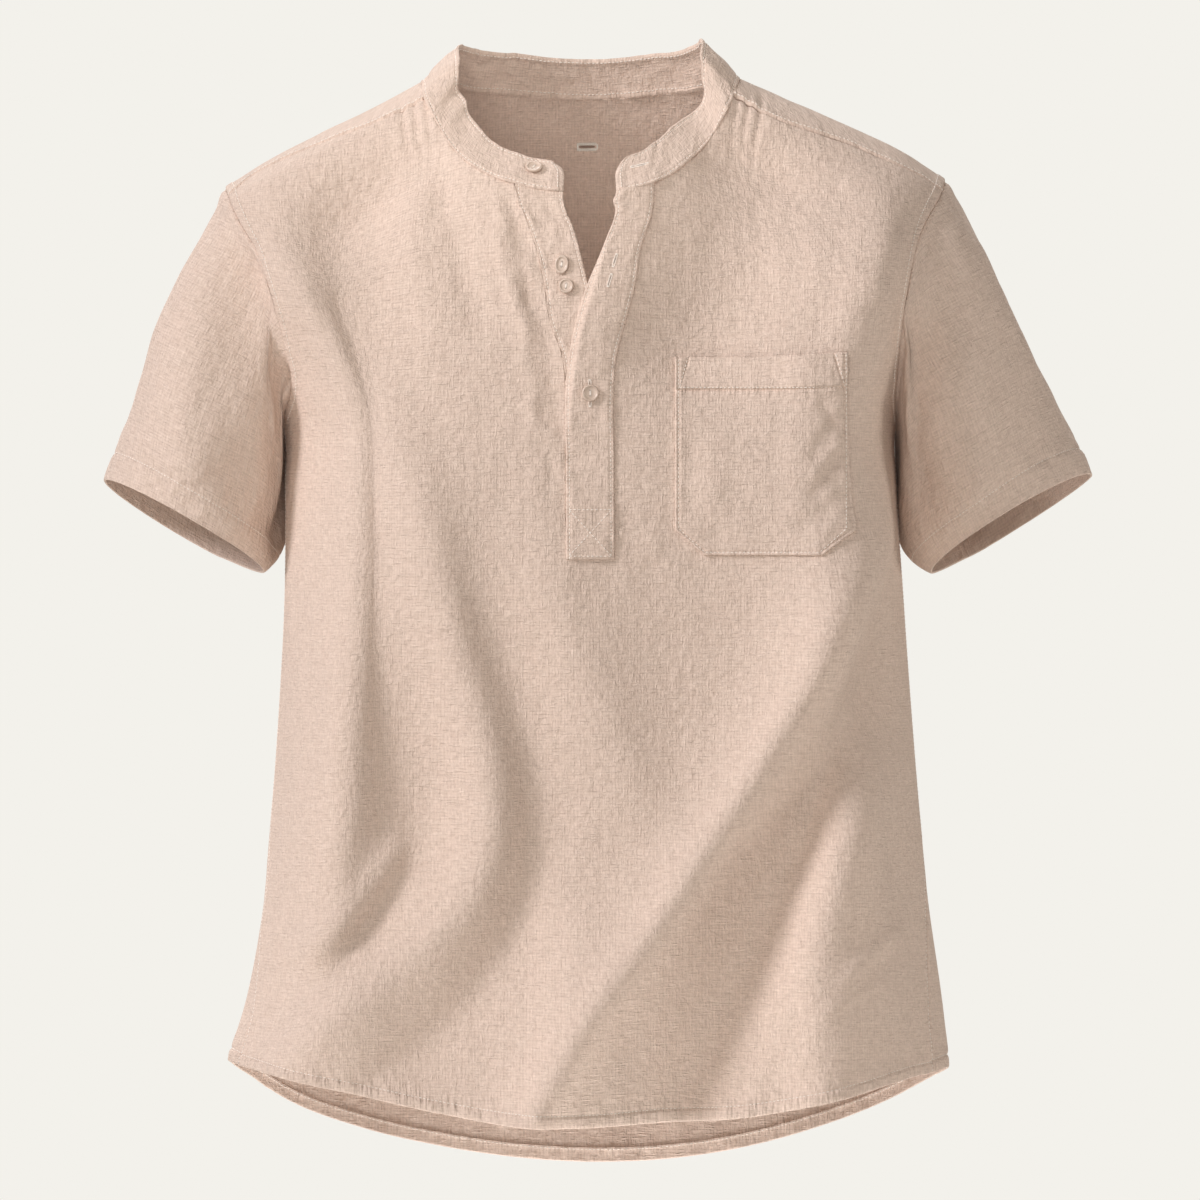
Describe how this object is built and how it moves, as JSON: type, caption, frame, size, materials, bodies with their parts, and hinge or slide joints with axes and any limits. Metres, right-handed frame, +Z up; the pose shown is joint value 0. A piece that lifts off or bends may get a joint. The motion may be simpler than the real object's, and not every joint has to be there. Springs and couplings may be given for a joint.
{
  "type": "henley shirt",
  "caption": "Short-sleeved collarless shirt with a stand band, a part-open button placket and a chest pocket, filled out as when it is worn.",
  "frame": {"origin": "middle of the shoulder line, level with the back neck seam, where the wearer's shoulders hold the shirt up", "axes": "+Z up, front of the shirt towards -Y, +X towards the wearer's left, where the pocket is"},
  "size_m": [0.6506, 0.2474, 0.7429],
  "materials": {
    "front_cloth": "matte",
    "back_cloth": "matte",
    "sleeve_left_cloth": "matte",
    "sleeve_right_cloth": "matte",
    "collar_band_cloth": "matte",
    "placket_under_cloth": "matte",
    "placket_over_cloth": "matte",
    "pocket_cloth": "matte",
    "button_collar_horn": "satin",
    "button_upper_horn": "satin",
    "button_lower_horn": "satin",
    "button_middle_horn": "satin"
  },
  "bodies": {
    "root": {"front": "front_cloth", "back": "back_cloth", "sleeve_left": "sleeve_left_cloth", "sleeve_right": "sleeve_right_cloth", "collar_band": "collar_band_cloth", "placket_under": "placket_under_cloth", "placket_over": "placket_over_cloth", "pocket": "pocket_cloth", "button_collar": "button_collar_horn", "button_upper": "button_upper_horn", "button_lower": "button_lower_horn", "button_middle": "button_middle_horn"}
  },
  "joints": []
}
